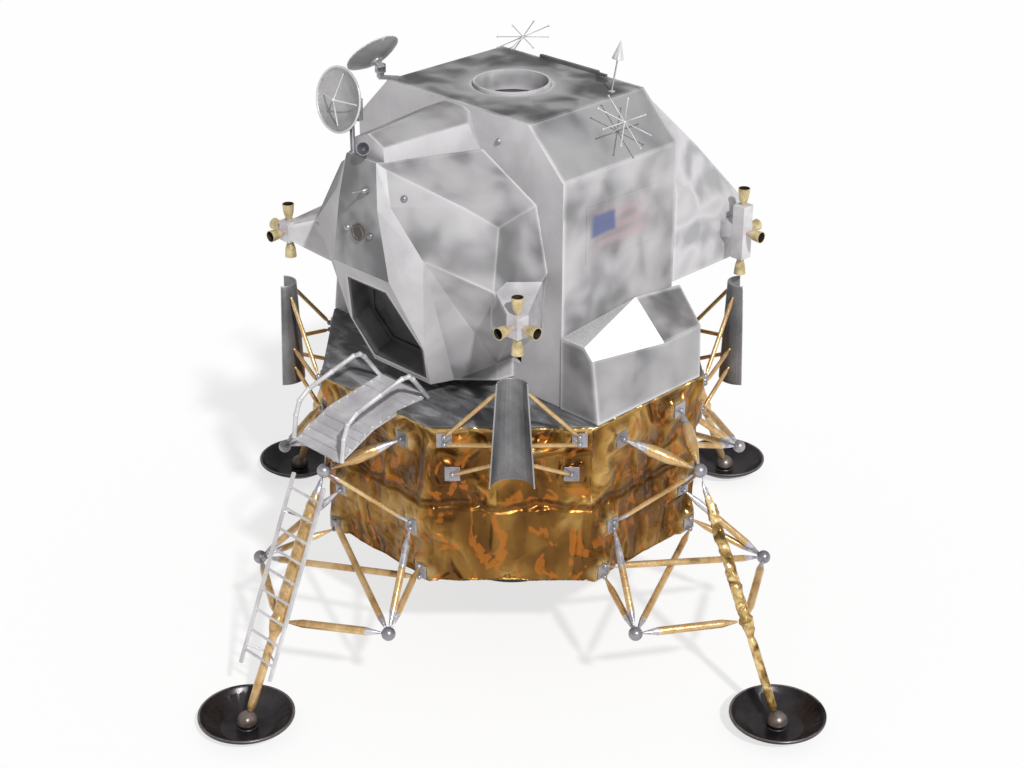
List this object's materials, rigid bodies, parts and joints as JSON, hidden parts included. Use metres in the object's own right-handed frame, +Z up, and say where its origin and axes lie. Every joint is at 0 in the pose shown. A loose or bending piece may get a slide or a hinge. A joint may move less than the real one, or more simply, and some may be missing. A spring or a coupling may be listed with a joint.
{
  "type": "lunar lander",
  "caption": "Two-stage crewed lander on four splayed legs with dished pads, faceted cabin, hatch porch, ladder, dishes and thruster clusters.",
  "frame": {"origin": "on the vehicle axis at ground level, under the middle of the docking tunnel, level with the underside of the four footpads", "axes": "+Z up along the docking tunnel, -Y to the front (hatch, porch and ladder), +X to port"},
  "size_m": [9.396, 9.396, 7.1026],
  "materials": {
    "gold_foil": "crinkled metallised foil",
    "grey_deck": "satin",
    "engine_metal": "satin",
    "nozzle": "matt",
    "fitting_grey": "satin",
    "strut_gold": "satin foil wrap",
    "pad_dark": "satin",
    "pale_paint": "satin",
    "deflector_grey": "satin",
    "silver_skin": "brushed, softly blotched",
    "hatch_dark": "matt",
    "thruster_tan": "satin",
    "dish_grey": "satin",
    "antenna_white": "satin",
    "panel_faded": "matt"
  },
  "bodies": {
    "lander": {"descent_stage": "gold_foil", "stage_deck": "grey_deck", "gimbal_pivots": "engine_metal", "strut_fittings": "fitting_grey", "gear_struts": "strut_gold", "gear_braces": "strut_gold", "gear_balls": "fitting_grey", "footpads": "pad_dark", "ladder": "pale_paint", "porch": "pale_paint", "handrails": "pale_paint", "plume_deflectors": "deflector_grey", "deflector_struts": "strut_gold", "mid_section": "silver_skin", "cabin": "silver_skin", "cabin_roof_box": "silver_skin", "hatch_frame": "pale_paint", "docking_ring": "silver_skin", "port_tank_cover": "silver_skin", "starboard_tank_cover": "silver_skin", "aft_bay": "silver_skin", "thruster_booms": "pale_paint", "thrusters": "thruster_tan", "radar_mast": "strut_gold", "comm_mast": "dish_grey", "star_antennas": "antenna_white", "probe_antenna": "antenna_white", "cabin_lamps": "fitting_grey", "roof_box": "silver_skin", "flag_panel": "panel_faded"},
    "gimbal": {"gimbal_ring": "engine_metal"},
    "engine": {"engine_block": "engine_metal", "engine_nozzle": "nozzle"},
    "front_hatch": {"forward_hatch": "hatch_dark"},
    "top_hatch": {"overhead_hatch": "hatch_dark"},
    "radar_shaft": {"radar_yoke": "fitting_grey"},
    "radar_head": {"radar_dish": "dish_grey"},
    "comm_turntable": {"comm_yoke": "fitting_grey"},
    "comm_head": {"comm_dish": "dish_grey"}
  },
  "joints": [
    {"name": "gimbal_pitch", "type": "hinge", "parent": "lander", "child": "gimbal", "pos_m": [0, 0, 2.33], "axis": [1, 0, 0], "range_deg": [-6, 6]},
    {"name": "gimbal_roll", "type": "hinge", "parent": "gimbal", "child": "engine", "pos_m": [0, 0, 2.33], "axis": [0, 1, 0], "range_deg": [-6, 6]},
    {"name": "front_hatch_hinge", "type": "hinge", "parent": "lander", "child": "front_hatch", "pos_m": [-0.538, -1.65992, 4.17593], "axis": [0, -0.3677, 0.93], "range_deg": [0, 75]},
    {"name": "top_hatch_hinge", "type": "hinge", "parent": "lander", "child": "top_hatch", "pos_m": [-0.461, 0, 6.253], "axis": [0, 1, 0], "range_deg": [0, 80]},
    {"name": "radar_tilt", "type": "hinge", "parent": "lander", "child": "radar_shaft", "pos_m": [-0.232, -2.075, 6.722], "axis": [1, 0, 0], "range_deg": [-60, 15]},
    {"name": "radar_swing", "type": "hinge", "parent": "radar_shaft", "child": "radar_head", "pos_m": [-0.232, -2.075, 6.722], "axis": [0, 0.1994, 0.9799], "range_deg": [-35, 35]},
    {"name": "comm_turn", "type": "hinge", "parent": "lander", "child": "comm_turntable", "pos_m": [-1.16, -0.895, 6.607], "axis": [0, 0, 1], "range_deg": [-10, 80]},
    {"name": "comm_rise", "type": "hinge", "parent": "comm_turntable", "child": "comm_head", "pos_m": [-1.16, -0.895, 6.607], "axis": [0.0262, 0.9997, 0], "range_deg": [-15, 45]}
  ]
}
